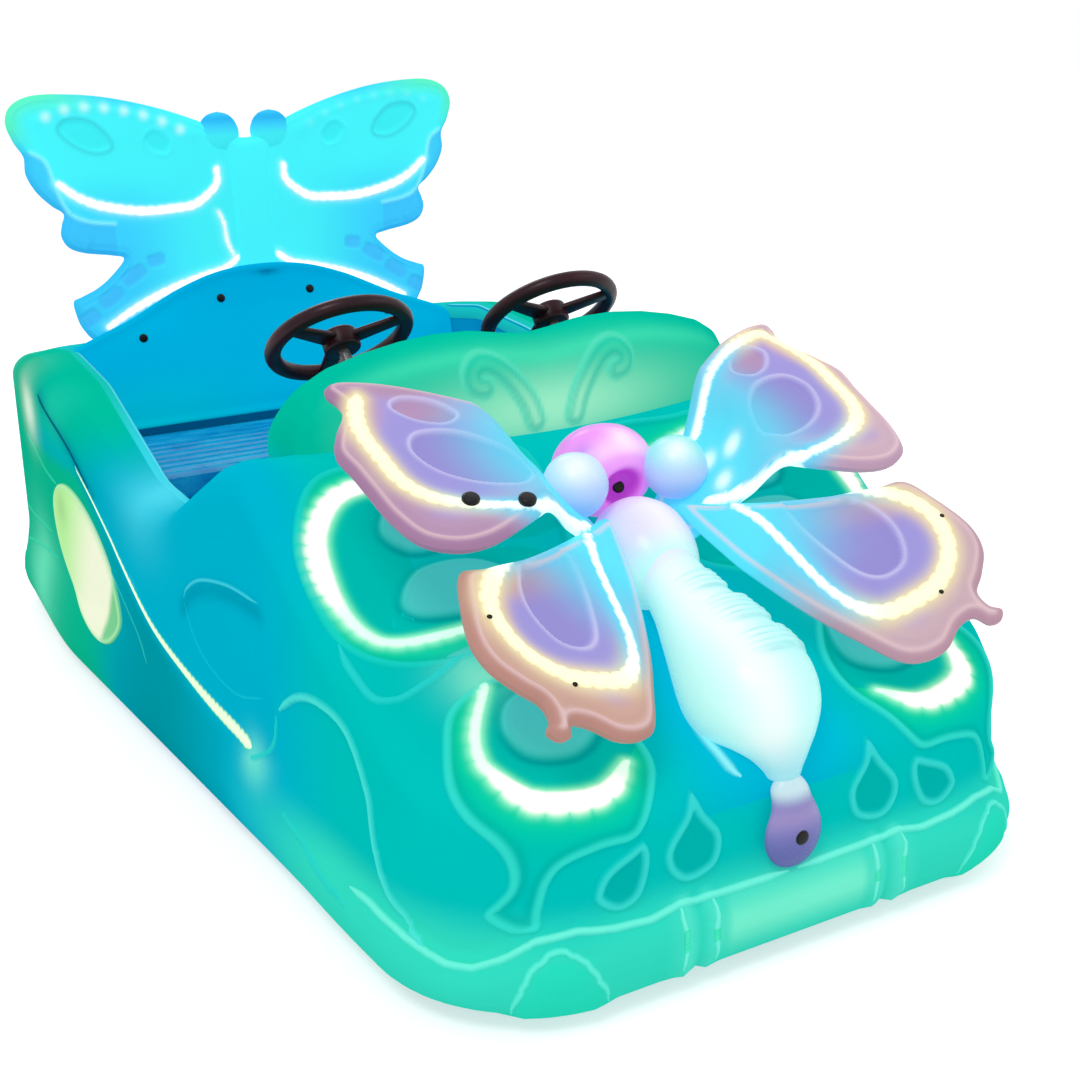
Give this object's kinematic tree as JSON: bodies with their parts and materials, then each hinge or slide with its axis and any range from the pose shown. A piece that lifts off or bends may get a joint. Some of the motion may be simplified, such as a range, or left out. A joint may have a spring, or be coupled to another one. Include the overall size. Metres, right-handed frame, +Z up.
{
  "type": "two-seat battery bumper car",
  "caption": "Two-seat battery bumper car with a moulded rimmed body, tub, cowl, coupled steering wheels, a steered drive wheel, free rear wheels and a butterfly theme.",
  "frame": {"origin": "on the floor under the middle of the car's length and width", "axes": "+Z up, the front faces -Y, the rider's right side is -X"},
  "size_m": [1.188, 2.078, 1.0456],
  "materials": {
    "teal_shell": "satin rotomoulded plastic",
    "green_shell": "satin rotomoulded plastic",
    "aqua_rim": "satin rotomoulded plastic",
    "blue_tub": "semi-gloss moulded plastic",
    "navy_box": "dark moulded plastic",
    "blue_vinyl": "glossy ribbed vinyl",
    "battery_case": "moulded battery case",
    "black_steel": "black powder coat",
    "bare_steel": "turned steel",
    "steel_pan": "grey primer",
    "black_plastic": "moulded plastic",
    "lamp_lens": "frosted lit lens",
    "pink_shell": "frosted lit shell",
    "lilac_shell": "frosted lit shell",
    "white_shell": "frosted lit shell",
    "purple_shell": "frosted shell",
    "mauve_wing": "frosted lit shell",
    "cyan_panel": "frosted lit shell",
    "maroon_grip": "moulded grip",
    "tyre": "solid rubber",
    "cast_hub": "cast"
  },
  "bodies": {
    "chassis": {"body_shell": "teal_shell", "cockpit_tub": "blue_tub", "bumper_rim": "aqua_rim", "chassis_frame": "black_steel", "floor_pan": "steel_pan", "seat_base": "navy_box", "seat_cushion": "blue_vinyl", "battery_block": "battery_case", "backrest": "blue_tub", "cowl": "green_shell", "column_tube_right": "black_steel", "column_tube_left": "black_steel", "drive_bridge": "black_steel", "slewing_bearing": "bare_steel", "rear_axle_right": "bare_steel", "rear_axle_left": "bare_steel", "pedal": "black_plastic", "side_lamp_right": "lamp_lens", "side_lamp_left": "lamp_lens", "butterfly_head": "pink_shell", "butterfly_thorax": "lilac_shell", "butterfly_abdomen": "white_shell", "butterfly_tail": "purple_shell", "butterfly_eye_right": "lilac_shell", "butterfly_eye_left": "lilac_shell", "upper_wing_left": "mauve_wing", "upper_wing_right": "mauve_wing", "lower_wing_left": "mauve_wing", "lower_wing_right": "mauve_wing", "rear_butterfly_body": "cyan_panel", "rear_wing_left": "cyan_panel", "rear_wing_right": "cyan_panel"},
    "steer_right": {"steering_wheel_right": "maroon_grip", "steering_shaft_right": "bare_steel"},
    "steer_left": {"steering_wheel_left": "maroon_grip", "steering_shaft_left": "bare_steel"},
    "fork": {"steering_fork": "black_steel"},
    "drive_wheel": {"front_tyre": "tyre", "front_hub_motor": "cast_hub"},
    "rear_wheel_right": {"rear_tyre_right": "tyre", "rear_hub_right": "cast_hub"},
    "rear_wheel_left": {"rear_tyre_left": "tyre", "rear_hub_left": "cast_hub"}
  },
  "joints": [
    {"name": "steering_right", "type": "hinge", "parent": "chassis", "child": "steer_right", "pos_m": [-0.19, -0.09, 0.67], "axis": [0, 0.6157, 0.788], "range_deg": [-150, 150]},
    {"name": "steering_left", "type": "hinge", "parent": "chassis", "child": "steer_left", "pos_m": [0.19, -0.09, 0.67], "axis": [0, 0.6157, 0.788], "range_deg": [-150, 150]},
    {"name": "fork_turn", "type": "hinge", "parent": "chassis", "child": "fork", "pos_m": [0, -0.64, 0.3], "axis": [0, 0, 1], "range_deg": [-75, 75]},
    {"name": "drive_spin", "type": "hinge", "parent": "fork", "child": "drive_wheel", "pos_m": [0, -0.64, 0.12], "axis": [1, 0, 0], "continuous": true},
    {"name": "rear_spin_right", "type": "hinge", "parent": "chassis", "child": "rear_wheel_right", "pos_m": [-0.499, 0.64, 0.1], "axis": [1, 0, 0], "continuous": true},
    {"name": "rear_spin_left", "type": "hinge", "parent": "chassis", "child": "rear_wheel_left", "pos_m": [0.499, 0.64, 0.1], "axis": [1, 0, 0], "continuous": true}
  ],
  "couplings": [
    {"joint": "steering_left", "follows": "steering_right", "ratio": 1},
    {"joint": "fork_turn", "follows": "steering_right", "ratio": 0.5}
  ]
}
